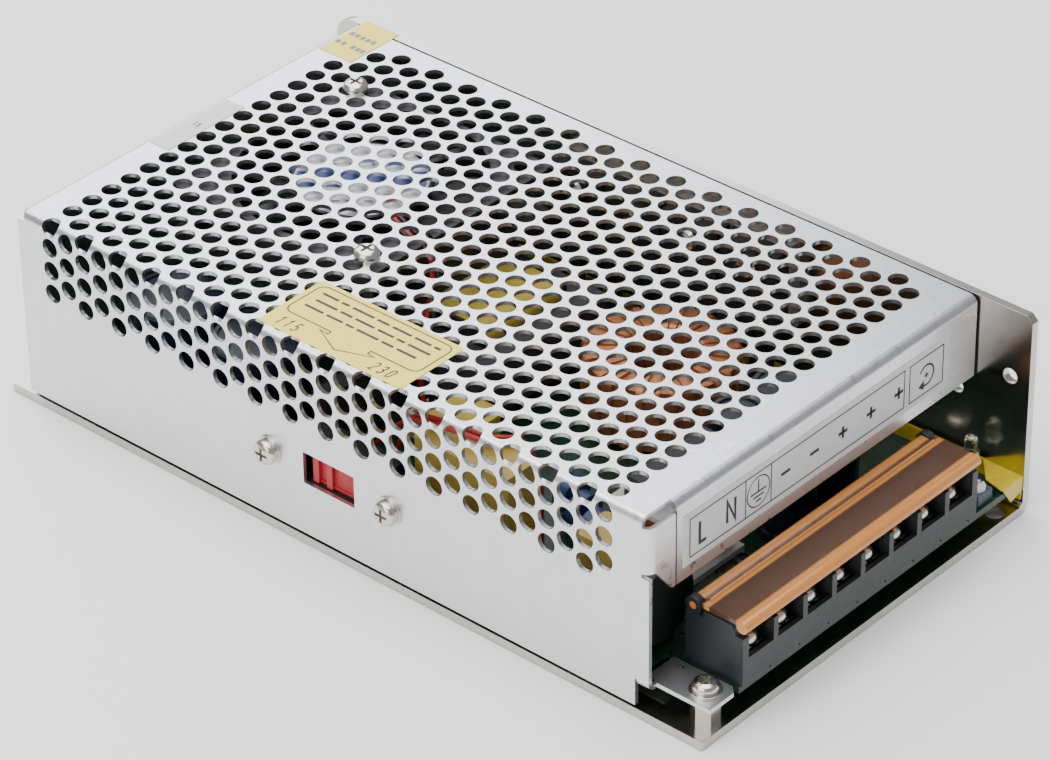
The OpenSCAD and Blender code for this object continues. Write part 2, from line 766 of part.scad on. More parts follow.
module terminal_cover() color([0.85, 0.5, 0.15, 0.6]) {
    inner0 = block_x0 + block_end + 0.15;
    inner1 = block_x1 - block_end - 0.15;
    rib_y = hinge_y - 2.75;
    union() {
        along_x(block_x0 + 0.2, block_x1 - 0.2) lid_outline(hinge_y - lug_r - 0.35);
        along_x(inner0, inner1) {
            translate([hinge_y - lug_r - 0.5, lid_top - lid_t]) square([lug_r + 0.5, lid_t]);
            translate([hinge_y, hinge_top]) circle(r = knuckle_r, $fn = round_fn);
        }
        along_x(inner0, inner1) translate([rib_y, lid_top - 0.1]) circle(r = 0.55, $fn = small_fn);
        along_x(block_x0 + 0.1, block_x1 - 0.1) translate([hinge_y, hinge_top])
            circle(r = hinge_pin_r, $fn = round_fn);
    }
}

// --- Fan -----------------------------------------------------------------------------------

module fan_place(p) {
    translate([fan_x + p[0] * fan_reach, fan_y + p[1] * fan_reach, 0]) children();
}

module fan_frame() color([0.09, 0.09, 0.1]) {
    seat_top = fan_top - fan_seat_drop;
    seat_low = seat_top - fan_seat_t;
    strut_w = 2.8;
    hub_r = fan_hub_d / 2 + 0.5;
    translate([fan_x, fan_y, 0]) difference() {
        union() {
            translate([0, 0, fan_bottom]) difference() {
                union() {
                    cylinder(r = fan_ring_r, h = fan_t, $fn = round_fn);
                    for (z = [0, fan_t - fan_plate_t]) translate([-fan_w / 2, -fan_w / 2, z])
                        round_box(fan_w, fan_w, fan_plate_t, 3);
                }
                translate([0, 0, -over])
                    cylinder(r = fan_bore_r, h = fan_t + 2 * over, $fn = round_fn);
            }
            translate([0, 0, seat_low]) cylinder(r = hub_r, h = fan_seat_t, $fn = round_fn);
            for (a = [90 : 90 : 270]) rotate([0, 0, lead_angle + a])
                translate([hub_r - 1, -strut_w / 2, seat_low])
                cube([fan_bore_r - hub_r + 1.5, strut_w, fan_seat_t]);
            // the strut that carries the leads is a wider channel
            rotate([0, 0, lead_angle]) translate([hub_r - 1, -channel_w / 2 - 0.8, seat_low])
                cube([fan_bore_r - hub_r + 1.5, channel_w + 1.6, fan_seat_t]);
            translate([0, 0, fan_boss_z])
                cylinder(r = fan_boss_r, h = seat_top - fan_boss_z, $fn = small_fn);
        }
        rotate([0, 0, lead_angle]) translate([hub_r - 2.5, -channel_w / 2, lead_z])
            cube([fan_w / 2, channel_w, fan_t]);
        for (x = [-1, 1]) for (y = [-1, 1])
            translate([x * fan_reach, y * fan_reach, fan_bottom - over])
            cylinder(r = free_r, h = fan_t + 2 * over, $fn = small_fn);
        translate([0, 0, fan_bottom]) cylinder(r = fan_shaft_r + running, h = 11, $fn = small_fn);
    }
}

// The coils on the fixed boss, inside the rotor's cup
module fan_stator() color([0.6, 0.35, 0.2]) {
    r = fan_hub_d / 2 - 3.5;
    translate([fan_x, fan_y, fan_boss_z + 1]) difference() {
        cylinder(r = r, h = 5, $fn = small_fn);
        translate([0, 0, -over]) cylinder(r = fan_boss_r, h = 5 + 2 * over, $fn = small_fn);
    }
}

// One blade: a thin curved slat pitched across the airflow, trimmed to the swept ring
module fan_blade() {
    pitch = 38;
    chord = 16;
    thick = 1;
    depth = fan_t - 4.6;
    intersection() {
        rotate([90, 0, 90]) translate([0, 0, fan_hub_d / 2 - 1.5]) linear_extrude(fan_w)
            rotate(pitch) polygon([
                [-chord / 2, 0], [-chord / 4, 1.2], [chord / 8, 1.5], [chord / 2, 0.4],
                [chord / 2, 0.4 - thick * 0.5], [chord / 8, 1.5 - thick], [-chord / 4, 1.2 - thick],
                [-chord / 2, -thick * 0.5]
            ]);
        translate([0, 0, -depth / 2]) cylinder(r = fan_bore_r - fan_tip_gap, h = depth, $fn = round_fn);
    }
}

module fan_rotor() color([0.07, 0.07, 0.08]) {
    cup_h = fan_t - fan_seat_drop - fan_seat_t - 1.4;
    translate([fan_x, fan_y, fan_bottom + 0.6]) {
        difference() {
            cylinder(r = fan_hub_d / 2, h = cup_h, $fn = round_fn);
            translate([0, 0, 1.4]) cylinder(r = fan_hub_d / 2 - 1.3, h = cup_h, $fn = round_fn);
        }
        cylinder(r = fan_shaft_r, h = 10, $fn = small_fn);
        for (i = [0 : fan_blades - 1]) rotate([0, 0, i * 360 / fan_blades])
            translate([0, 0, cup_h / 2]) difference() {
                fan_blade();
                cylinder(r = fan_hub_d / 2 - 0.8, h = fan_t * 2, center = true, $fn = round_fn);
            }
    }
}

module fan_label() color("aliceblue") {
    translate([fan_x, fan_y, fan_top - fan_seat_drop])
        cylinder(r = fan_hub_d / 2 - 0.3, h = skin, $fn = round_fn);
}

module fan_screws() color("gainsboro") {
    for (p = fan_screw_pos) fan_place(p) translate([0, 0, case_h])
        pan_screw(screw_r, head_r, head_h, cover_t + fan_t + 3);
}

module fan_nuts() color("gainsboro") {
    for (p = fan_screw_pos) fan_place(p) translate([0, 0, fan_bottom - 2.4]) difference() {
        hexagon(5.5, 2.4);
        translate([0, 0, -over]) cylinder(r = tap_r, h = 2.4 + 2 * over, $fn = small_fn);
    }
}

// --- Wires inside the case -----------------------------------------------------------------

connector_x = -16;
connector_y = 9.5;
connector_h = 6.2;

// One fan lead: out along the channel, then down to the connector; side is -1 or 1
module fan_lead(side) {
    z = lead_z + lead_d / 2;
    shift = side * (lead_d / 2 + 0.1);
    along = [cos(lead_angle), sin(lead_angle), 0];
    aside = [-sin(lead_angle), cos(lead_angle), 0];
    out = fan_w / 2 / abs(sin(lead_angle));
    start = [fan_x, fan_y, z] + shift * aside;
    end_x = connector_x + side * 1.3;
    wire([
        start + 13.7 * along, start + 20 * along, start + out * along,
        start + (out + 2.5) * along - [0, 0, 1], start + (out + 3.6) * along - [0.4, 0, 5],
        start + (out + 3.2) * along - [1.6, -0.4, 12],
        [end_x, connector_y + 0.8, pcb_top + connector_h + 8],
        [end_x, connector_y, pcb_top + connector_h + 3],
        [end_x, connector_y, pcb_top + connector_h - 1.8]
    ], lead_d);
}
module fan_lead_red() color("firebrick") { fan_lead(-1); }
module fan_lead_black() color([0.1, 0.1, 0.1]) { fan_lead(1); }

module fan_connector() color("ivory") {
    w = 7.6;
    d = 5.8;
    wall = 0.8;
    translate([connector_x - w / 2, connector_y - d / 2, pcb_top]) difference() {
        cube([w, d, connector_h]);
        translate([wall, wall, connector_h - 1.8]) cube([w - 2 * wall, d - 2 * wall, 3]);
    }
}

// Two leads from the selector, over the line capacitor, down to the board
module selector_leads() color("firebrick") {
    x = side_in + housing_d;
    for (s = [-1, 1]) wire([
        [x, window_y + s * 3 - 3, window_z], [x + 2, window_y + s * 3 - 3, window_z],
        [x + 3.4, window_y + s * 2 - 7, window_z + 8], [x + 3.6 + s, window_y - 13, window_z + 14.8],
        [x + 4 + s, window_y - 22, window_z + 16.4], [x + 6 + s, window_y - 31, window_z + 15.8],
        [x + 10.6 + s, window_y - 35, window_z + 15.2], [x + 12.6 + s, window_y - 37, window_z + 10],
        [x + 13.4 + s, window_y - 38, window_z + 2], [x + 13.4 + s, window_y - 38, pcb_top]
    ], lead_d);
}

// --- Voltage selector ----------------------------------------------------------------------

module selector_housing() color([0.1, 0.1, 0.11]) {
    y0 = slider_front - slider_gap - housing_wall;
    y1 = slider_rear + slider_travel + slider_gap + housing_wall;
    z0 = slider_z0 - slider_gap - housing_wall;
    z1 = slider_z0 + slider_h + slider_gap + housing_wall;
    flange_t = 1;
    difference() {
        union() {
            span_box([side_in, y0, z0], [side_in + housing_d, y1, z1]);
            span_box([side_in, window_y - selector_screws_l / 2 - 4, window_z - 4],
                [side_in + flange_t, window_y + selector_screws_l / 2 + 4, window_z + 4]);
        }
        span_box([side_in - over, y0 + housing_wall, z0 + housing_wall],
            [side_in + slider_recess + slider_t + slider_gap, y1 - housing_wall, z1 - housing_wall]);
        for (s = [-1, 1]) translate([side_in - over, window_y + s * selector_screws_l / 2, window_z])
            rotate([0, 90, 0]) cylinder(r = selector_screw_r, h = flange_t + 2 * over, $fn = small_fn);
    }
}

module selector_slider() color([0.75, 0.16, 0.16]) {
    face = side_in + slider_recess;
    span_box([face, slider_front, slider_z0],
        [face + slider_t, slider_rear, slider_z0 + slider_h]);
    for (y = [slider_rear - 1.7, slider_rear - 5.6])
        span_box([face - 1, y, slider_z0], [face, y + 1.7, slider_z0 + slider_h]);
    // stop lug along the lower edge
    span_box([face - 0.4, slider_front, slider_z0], [face, slider_rear, slider_z0 + 0.8]);
}

module selector_washers() color("gainsboro") {
    for (s = [-1, 1]) translate([left_x, window_y + s * selector_screws_l / 2, window_z])
        rotate([0, -90, 0]) washer(washer_r, selector_screw_r + 0.2, washer_t);
}

module selector_screws() color("gainsboro") {
    for (s = [-1, 1]) translate([left_x - washer_t, window_y + s * selector_screws_l / 2, window_z])
        rotate([0, -90, 0])
        pan_screw(selector_screw_r, head_r, head_h, washer_t + cover_t + 1 + 2);
}

// --- Parts on the board --------------------------------------------------------------------

// A can capacitor on the board: rolled groove near the foot, bevelled rim and sunken top
module can(r, h) {
    rotate_extrude($fn = round_fn) polygon([
        [0, 0], [r, 0], [r, 2.2], [r - 0.5, 2.7], [r, 3.2], [r, h - 0.6], [r - 0.6, h],
        [r - 1.5, h], [r - 1.5, h - 0.4], [0, h - 0.4]
    ]);
}

module on_board(x, y) {
    translate([x, y, pcb_top]) children();
}

// Places across the board: the input side holds on to the left edge, the output side to the
// right edge and the wall. Along it, the front parts hold on to the terminal block and the rear
// ones to the rear edge; the parts between them are placed from the voltage selector.
board_mid_x = (pcb_left + pcb_right) / 2;

bulk_r = 11;
bulk_h = 25;
bulk_edge = 2;            // from the board's left edge
bulk_rear = 17.5;         // from the board's rear edge
bulk_gap = 3;
module bulk_capacitors() color([0.12, 0.13, 0.16]) {
    y = pcb_rear - bulk_rear - bulk_r;
    for (i = [0, 1]) on_board(pcb_left + bulk_edge + bulk_r, y - i * (2 * bulk_r + bulk_gap))
        can(bulk_r, bulk_h);
}

tx_x = board_mid_x + 10;
tx_y = window_y + 13.9;
tx_core_l = 40;           // outer size of the core, lying flat, along X
tx_core_w = 38;           // along Y
tx_core_h = 14;           // along Z
tx_leg = 6;               // thickness of the core's outer legs and yokes
tx_centre_w = 12;         // width of the centre leg
tx_bobbin_t = 1;
tx_fan_gap = 2.6;         // between the winding and the fan above it
tx_foot = 1.4;            // between the winding and the board
tx_mid_z = (fan_bottom - tx_fan_gap - pcb_top + tx_foot) / 2;
tx_window = tx_core_l - 2 * tx_leg;
tx_room = tx_core_w / 2 - tx_leg;      // from the axis to the outer leg

// Half of the core: an E lying flat, open towards +X
module core_half() {
    half = tx_core_l / 2;
    translate([-half, -tx_core_w / 2, -tx_core_h / 2]) cube([tx_leg, tx_core_w, tx_core_h]);
    for (y = [-tx_core_w / 2, tx_core_w / 2 - tx_leg])
        translate([-half, y, -tx_core_h / 2]) cube([half, tx_leg, tx_core_h]);
    translate([-half, -tx_centre_w / 2, -tx_core_h / 2]) cube([half, tx_centre_w, tx_core_h]);
}

module transformer_core() color([0.22, 0.22, 0.23]) {
    on_board(tx_x, tx_y) translate([0, 0, tx_mid_z]) {
        core_half();
        mirror([1, 0, 0]) core_half();
    }
}

module transformer_bobbin() color([0.12, 0.12, 0.12]) {
    fit = 0.1;            // between the cheeks and the core
    t = tx_bobbin_t;
    cheek = tx_room - 2 * fit;
    tall = tx_mid_z - tx_foot + 0.6;
    rail = 5.2;
    on_board(tx_x, tx_y) difference() {
        union() {
            for (s = [-1, 1]) translate([s * (tx_window / 2 - fit - t / 2), 0, tx_mid_z])
                translate([-t / 2, -cheek, -tall]) cube([t, 2 * cheek, 2 * tall]);
            translate([fit - tx_window / 2, -tx_centre_w / 2 - t, tx_mid_z - tx_core_h / 2 - t])
                cube([tx_window - 2 * fit, tx_centre_w + 2 * t, tx_core_h + 2 * t]);
            // pin rails on the board
            for (s = [-1, 1]) translate([s * (tx_window / 2 + 1.6) - rail / 2, -cheek, 0])
                cube([rail, 2 * cheek, tx_mid_z - tx_core_h / 2 - 2 * fit]);
        }
        translate([-tx_core_l, -tx_centre_w / 2, tx_mid_z - tx_core_h / 2])
            cube([2 * tx_core_l, tx_centre_w, tx_core_h]);
    }
}

module transformer_winding() color("gold") {
    t = tx_bobbin_t;
    w = tx_window - 0.2 - 2 * t;
    room = tx_room - 0.6;
    high = tx_mid_z - tx_foot;
    on_board(tx_x, tx_y) translate([-w / 2, 0, tx_mid_z]) rotate([90, 0, 90]) linear_extrude(w)
        difference() {
            translate([-room, -high]) round_rect(2 * room, 2 * high, 3);
            translate([-tx_centre_w / 2 - t, -tx_core_h / 2 - t])
                square([tx_centre_w + 2 * t, tx_core_h + 2 * t]);
        }
}

choke_r = 16.5;
choke_hole_r = 9.5;
choke_h = 14;
choke_lift = 2.2;
choke_layer = 0.6;        // copper layer between the core and the outer turns
choke_x = wall_x - 30.6;
choke_y = window_y - 26.5;
turn_d = 1.5;
turns = 30;

module output_choke_core() color("khaki") {
    on_board(choke_x, choke_y) translate([0, 0, choke_lift]) difference() {
        cylinder(r = choke_r, h = choke_h, $fn = round_fn);
        translate([0, 0, -over]) cylinder(r = choke_hole_r, h = choke_h + 2 * over, $fn = round_fn);
    }
}

// The winding: a thin copper layer round the core, and the outer turns laid over it
module output_choke_winding() color([0.72, 0.4, 0.22]) {
    layer = choke_layer;
    on_board(choke_x, choke_y) translate([0, 0, choke_lift]) difference() {
        union() {
            rotate_extrude($fn = round_fn) translate([choke_hole_r - layer, -layer])
                square([choke_r - choke_hole_r + 2 * layer, choke_h + 2 * layer]);
            for (i = [0 : turns - 1]) rotate([0, 0, i * 360 / turns]) choke_turn();
        }
        rotate_extrude($fn = round_fn) translate([choke_hole_r, 0])
            square([choke_r - choke_hole_r, choke_h]);
    }
}

// One turn: a round-cornered loop of wire standing out from the copper layer
module choke_turn() {
    out = turn_d - 0.2;
    translate([0, turn_d / 2, 0]) rotate([90, 0, 0]) linear_extrude(turn_d)
        translate([choke_hole_r - out, -out])
        round_rect(choke_r - choke_hole_r + 2 * out, choke_h + 2 * out, turn_d - 0.1);
}

line_core_w = 24;
line_core_d = 8;
line_core_h = 26;
line_limb = 5.5;          // thickness of the core's limbs and yokes
line_lift = 3;            // from the board to the core
line_foot_w = 26.8;
line_x = pcb_left + 31.5;
line_y = block_back + 20.8;
line_coil_w = 7.2;
line_coil_d = 12.8;
line_coil_h = 5.2;
line_cheek_t = 1.2;
line_fit = 0.1;           // round the core in the bobbins and coils

module line_choke_core() color([0.25, 0.25, 0.26]) {
    w = line_core_w - 2 * line_limb;
    on_board(line_x, line_y) translate([-line_core_w / 2, -line_core_d / 2, line_lift]) difference() {
        cube([line_core_w, line_core_d, line_core_h]);
        translate([line_limb, -over, line_limb])
            cube([w, line_core_d + 2 * over, line_core_h - 2 * line_limb]);
    }
}

// The middle of each wound limb
line_limbs = [for (s = [-1, 1]) s * (line_core_w - line_limb) / 2];
line_step = line_coil_h + line_cheek_t + 2 * line_fit;

module line_choke_bobbin() color("whitesmoke") {
    cheek_w = line_coil_w + 0.7;
    cheek_d = line_coil_d + 1.2;
    z0 = line_lift + line_limb + line_fit;
    on_board(line_x, line_y) difference() {
        union() {
            translate([-line_foot_w / 2, -line_coil_d / 2 - 1.1, 0])
                cube([line_foot_w, line_coil_d + 2.2, line_lift - line_fit]);
            for (x = line_limbs) for (i = [0 : 2])
                translate([x - cheek_w / 2, -cheek_d / 2, z0 + i * line_step])
                cube([cheek_w, cheek_d, line_cheek_t]);
        }
        translate([-line_core_w / 2 - line_fit, -line_core_d / 2 - line_fit, line_lift - line_fit])
            cube([line_core_w + 2 * line_fit, line_core_d + 2 * line_fit, 2 * line_core_h]);
    }
}

module line_choke_coils() color([0.7, 0.38, 0.2]) {
    z0 = line_lift + line_limb + line_cheek_t + 2 * line_fit;
    on_board(line_x, line_y) for (x = line_limbs) for (i = [0, 1]) difference() {
        translate([x - line_coil_w / 2, -line_coil_d / 2, z0 + i * line_step])
            round_box(line_coil_w, line_coil_d, line_coil_h, 2);
        translate([x - line_limb / 2 - line_fit, -line_core_d / 2 - line_fit, 0])
            cube([line_limb + 2 * line_fit, line_core_d + 2 * line_fit, line_core_h]);
    }
}

module box_capacitor(w, l, h) {
    lift = 0.4;
    translate([-w / 2, -l / 2, lift]) round_box(w, l, h, 1);
    for (y = [-l / 2 + 1.2, l / 2 - 2.2]) translate([-w / 2, y, 0]) cube([w, 1, lift]);
}

x_cap_w = 10;
x_cap_l = 26;
x_cap_h = 25.2;
x_cap_edge = 5.5;         // from the board's left edge
x_cap_ahead = 29.1;       // from the middle of the selector
input_cap_l = 15.6;
input_cap_h = 22;
input_cap_edge = 4.6;
input_cap_y = block_back + 17.8;
module x_capacitors() color("goldenrod") {
    on_board(pcb_left + x_cap_edge + x_cap_w / 2, window_y - x_cap_ahead)
        box_capacitor(x_cap_w, x_cap_l, x_cap_h);
    on_board(pcb_left + input_cap_edge + x_cap_w / 2, input_cap_y)
        box_capacitor(x_cap_w, input_cap_l, input_cap_h);
}

// A disc component standing on two legs
module disc(r, t, lift) {
    translate([0, t / 2, r + lift]) rotate([90, 0, 0]) cylinder(r = r, h = t, $fn = small_fn);
    legs([[-r * 0.55, 0], [r * 0.55, 0]], lift + r * 0.5);
}

y_cap_r = 4.5;
y_cap_t = 3;
y_cap_lift = 2.5;
y_cap_gap = 3;            // between one disc and the next
y_cap_y = line_y + 16;
module y_capacitors() color("steelblue") {
    for (i = [0 : 2]) on_board(pcb_left + 24.5 + i * 3, y_cap_y + i * (y_cap_t + y_cap_gap))
        disc(y_cap_r, y_cap_t, y_cap_lift);
}

thermistor_r = 9;
thermistor_t = 4.4;
thermistor_lift = 3;
module thermistor() color([0.12, 0.2, 0.16]) {
    on_board(pcb_left + 8.5, block_back + 6.8) disc(thermistor_r, thermistor_t, thermistor_lift);
}

fuse_d = 5.2;
fuse_l = 20;
fuse_z = 4;               // height of the fuse's axis above the board
module fuse() color("lightcyan") {
    clip_w = 3;
    clip_l = 6.8;
    on_board(pcb_left + 28.5, block_back + 7.8) {
        translate([-fuse_l / 2, 0, fuse_z]) rotate([0, 90, 0])
            cylinder(d = fuse_d, h = fuse_l, $fn = small_fn);
        for (s = [-1, 1]) translate([s * (fuse_l / 2 - 2.5) - clip_w / 2, -clip_l / 2, 0])
            cube([clip_w, clip_l, fuse_z]);
    }
}

bridge_w = 22;
bridge_t = 4.4;
bridge_h = 14;
bridge_lift = 5;
module bridge_rectifier() color([0.13, 0.13, 0.14]) {
    lead = 1.1;
    on_board(pcb_left + 21.5, pcb_rear - 72.5) {
        translate([-bridge_w / 2, -bridge_t / 2, bridge_lift]) cube([bridge_w, bridge_t, bridge_h]);
        legs([for (x = [-8, -3, 3, 8]) [x, 0]], bridge_lift + 1, lead);
    }
}

output_can_r = 6.25;
output_can_h = 25;
output_can_pitch = 14;
resistor_l = 12;
resistor_d = 4;
resistor_span = 16;       // between the two wires of a resistor
resistor_x = pcb_right - 9;
resistor_y = block_back + 22.8;
resistor_pitch = 6;

// The four cans stand midway between the line choke and the load resistors
output_can_x = (line_x + line_foot_w / 2 + resistor_x - resistor_span / 2) / 2;
output_can_y = block_back + 11.8;
module output_capacitors() color([0.1, 0.13, 0.12]) {
    for (s = [-0.5, 0.5]) for (i = [0, 1])
        on_board(output_can_x + s * output_can_pitch, output_can_y + i * output_can_pitch)
        can(output_can_r, output_can_h);
}

function device_y(i) = spreader_y + (i - (device_count - 1) / 2) * device_pitch;

module power_devices() color([0.12, 0.12, 0.13]) {
    leg_x = device_x - device_t / 2;
    for (i = [0 : device_count - 1]) difference() {
        union() {
            span_box([device_x - device_t, device_y(i) - device_w / 2, device_z],
                [device_x, device_y(i) + device_w / 2, device_z + device_h]);
            for (y = [-5.4, 0, 5.4]) span_box([leg_x - 0.3, device_y(i) + y - 0.6, pcb_top],
                [leg_x + 0.3, device_y(i) + y + 0.6, device_z]);
        }
        translate([device_x - device_t - over, device_y(i), device_hole_z]) rotate([0, 90, 0])
            cylinder(r = free_r, h = device_t + 2 * over, $fn = small_fn);
    }
}

module insulating_pads() color("lightgray") {
    margin = 0.3;
    for (i = [0 : device_count - 1]) difference() {
        span_box([device_x, device_y(i) - device_w / 2 - margin, device_z - margin],
            [device_x + pad_t, device_y(i) + device_w / 2 + margin, device_z + device_h + margin]);
        translate([device_x - over, device_y(i), device_hole_z]) rotate([0, 90, 0])
            cylinder(r = free_r, h = pad_t + 2 * over, $fn = small_fn);
    }
}

module heat_spreader() color([0.8, 0.79, 0.7]) {
    difference() {
        span_box([wall_x - spreader_t, spreader_y - spreader_l / 2, spreader_top - spreader_h],
            [wall_x, spreader_y + spreader_l / 2, spreader_top]);
        for (i = [0 : device_count - 1])
            translate([wall_x - spreader_t - over, device_y(i), device_hole_z])
            rotate([0, 90, 0]) cylinder(r = tap_r, h = spreader_t + over - 0.3, $fn = small_fn);
        for (p = spreader_fixings) translate([wall_x - spreader_t + 0.3, p[0], p[1]])
            rotate([0, 90, 0]) cylinder(r = tap_r, h = spreader_t + over, $fn = small_fn);
    }
}

module device_screws() color("gainsboro") {
    for (i = [0 : device_count - 1])
        translate([device_x - device_t, device_y(i), device_hole_z]) rotate([0, -90, 0])
        pan_screw(screw_r, head_r, head_h, device_t + pad_t + spreader_t - 0.5);
}

module spreader_screws() color("gainsboro") {
    for (p = spreader_fixings) wall_screw(p, base_t + spreader_t - 0.4);
}

ic_l = 20;
ic_w = 6.4;
ic_h = 3.3;
ic_pin_pitch = 2.54;
module control_ic() color([0.11, 0.11, 0.12]) {
    pin_w = 0.6;
    pin_l = 1.2;
    seat = 1;
    on_board(pcb_left + 45.5, block_back + 38.8) {
        translate([-ic_l / 2, -ic_w / 2, seat]) cube([ic_l, ic_w, ic_h]);
        for (s = [-1, 1]) for (i = [-3.5 : 3.5])
            translate([i * ic_pin_pitch - pin_w / 2, s * (ic_w / 2 + pin_l / 2) - pin_l / 2, 0])
            cube([pin_w, pin_l, seat + 1.4]);
    }
}

driver_w = 18;
driver_d = 14;
driver_h = 15;
module driver_transformer() color("gold") {
    foot = 2;
    wound_w = 12;
    core_d = 6;
    on_board(pcb_left + 29.5, window_y - 8.1) {
        translate([-driver_w / 2, -driver_d / 2, 0]) cube([driver_w, driver_d, foot]);
        translate([-wound_w / 2, -driver_d / 2 + 0.5, foot])
            round_box(wound_w, driver_d - 1, driver_h - foot, 2);
        translate([-driver_w / 2, -core_d / 2, 2 * foot]) cube([driver_w, core_d, driver_h - 3 * foot]);
    }
}

module load_resistors() color("lightslategray") {
    lead = 0.8;
    z = resistor_d / 2 + 1.2;
    for (i = [0, 1]) on_board(resistor_x, resistor_y + i * resistor_pitch) {
        translate([-resistor_l / 2, 0, z]) rotate([0, 90, 0])
            cylinder(d = resistor_d, h = resistor_l, $fn = small_fn);
        translate([-resistor_span / 2, 0, z]) rotate([0, 90, 0])
            cylinder(d = lead, h = resistor_span, $fn = 16);
        for (s = [-1, 1]) translate([s * resistor_span / 2, 0, 0])
            cylinder(d = lead, h = z + lead / 2, $fn = 16);
    }
}

module indicator_led() color("lightgreen") {
    lift = 4;
    translate([led_x, led_y, pcb_top]) {
        translate([0, 0, lift]) rotate_extrude($fn = small_fn) polygon(concat(
            [[0, 0], [1.9, 0], [1.9, 1], [1.5, 1]],
            [for (a = [0 : 15 : 90]) [1.5 * cos(a), 3.8 + 1.5 * sin(a)]]
        ));
        legs([[0, -1.27], [0, 1.27]], lift + 0.5, 0.6);
    }
}

// --- Output trimmer ------------------------------------------------------------------------

module trimmer_body() color([0.2, 0.35, 0.6]) {
    translate([trimmer_x, trimmer_y, pcb_top]) difference() {
        translate([-trimmer_w / 2, -trimmer_w / 2, 0]) cube([trimmer_w, trimmer_w, trimmer_h]);
        translate([0, 0, trimmer_h - trimmer_well])
            cylinder(r = trimmer_dial_r + running, h = trimmer_well + over, $fn = small_fn);
        translate([0, 0, 0.8]) cylinder(r = trimmer_pin_r + running, h = trimmer_h, $fn = small_fn);
    }
}

module trimmer_rotor() color("whitesmoke") {
    proud = 0.8;
    slot = 0.7;
    translate([trimmer_x, trimmer_y, pcb_top]) difference() {
        union() {
            translate([0, 0, trimmer_h - trimmer_well + 0.1])
                cylinder(r = trimmer_dial_r, h = trimmer_well - 0.1 + proud, $fn = small_fn);
            translate([0, 0, 1]) cylinder(r = trimmer_pin_r, h = trimmer_h - 1, $fn = small_fn);
        }
        translate([-trimmer_dial_r - over, -slot / 2, trimmer_h + 0.1])
            cube([2 * (trimmer_dial_r + over), slot, proud + over]);
    }
}

// --- Labels --------------------------------------------------------------------------------

module terminal_label() color("white") {
    x0 = strip_x + 1.9;
    z0 = case_h - strip_h + 3;
    span_box([x0, cover_front - skin, z0], [x0 + 87.2, cover_front, z0 + 12.5]);
}

module voltage_sticker() color("gold") {
    w = 19.8;
    l = 40.5;
    translate([left_x + 2.6, window_y - 19.1, case_h]) round_box(w, l, skin, 0.8);
}

module seal_sticker() color("gold") {
    span_box([cover_right - 13.8, cover_rear - 12, case_h],
        [right_x, cover_rear - 0.1 - bend, case_h + skin]);
}

module serial_sticker() color("whitesmoke") {
    span_box([-16, cover_rear - 7.6, case_h], [8.3, cover_rear - 2.1, case_h + skin]);
}

// --- Nodes ---------------------------------------------------------------------------------

base_chassis();
cover();
pcb();
pcb_standoffs();
pcb_screws();
tab_standoff();
tab_screw();
tab_washer();
wall_screws();
floor_insulator();
wall_insulator();
terminal_block();
terminal_plates();
terminal_clamps();
terminal_screws();
terminal_cover();
fan_frame();
fan_stator();
fan_rotor();
fan_label();
fan_screws();
fan_nuts();
fan_lead_red();
fan_lead_black();
fan_connector();
selector_housing();
selector_slider();
selector_screws();
selector_washers();
selector_leads();
bulk_capacitors();
transformer_core();
transformer_bobbin();
transformer_winding();
output_choke_core();
output_choke_winding();
line_choke_core();
line_choke_coils();
line_choke_bobbin();
x_capacitors();
y_capacitors();
fuse();
thermistor();
bridge_rectifier();
output_capacitors();
power_devices();
insulating_pads();
heat_spreader();
device_screws();
spreader_screws();
control_ic();
driver_transformer();
load_resistors();
indicator_led();
trimmer_body();
trimmer_rotor();
terminal_label();
voltage_sticker();
seal_sticker();
serial_sticker();
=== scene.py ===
import json
import math

import bmesh
import bpy
from mathutils import Matrix, Vector


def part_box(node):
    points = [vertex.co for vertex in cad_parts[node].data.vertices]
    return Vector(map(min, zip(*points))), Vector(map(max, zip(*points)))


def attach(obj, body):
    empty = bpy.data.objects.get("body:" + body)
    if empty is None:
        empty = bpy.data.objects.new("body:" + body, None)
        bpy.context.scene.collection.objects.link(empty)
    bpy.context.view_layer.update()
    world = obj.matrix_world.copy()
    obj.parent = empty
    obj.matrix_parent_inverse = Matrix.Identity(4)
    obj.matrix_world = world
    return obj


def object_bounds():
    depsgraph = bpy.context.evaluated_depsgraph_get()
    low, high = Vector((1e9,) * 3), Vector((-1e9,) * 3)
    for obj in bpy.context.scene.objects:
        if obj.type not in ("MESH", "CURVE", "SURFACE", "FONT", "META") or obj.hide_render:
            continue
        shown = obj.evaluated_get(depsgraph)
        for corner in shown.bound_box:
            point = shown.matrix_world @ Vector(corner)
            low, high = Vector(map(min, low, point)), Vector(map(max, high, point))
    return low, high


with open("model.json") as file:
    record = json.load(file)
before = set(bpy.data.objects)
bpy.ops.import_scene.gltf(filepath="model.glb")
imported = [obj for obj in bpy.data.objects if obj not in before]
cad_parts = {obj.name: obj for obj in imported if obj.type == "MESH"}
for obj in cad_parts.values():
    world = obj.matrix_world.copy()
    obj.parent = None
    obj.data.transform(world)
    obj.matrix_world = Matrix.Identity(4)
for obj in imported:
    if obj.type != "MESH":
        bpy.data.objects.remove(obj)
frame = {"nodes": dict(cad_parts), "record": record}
cad_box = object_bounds()
nodes = frame["nodes"]
MM = 0.001


# --- Materials -------------------------------------------------------------------------------

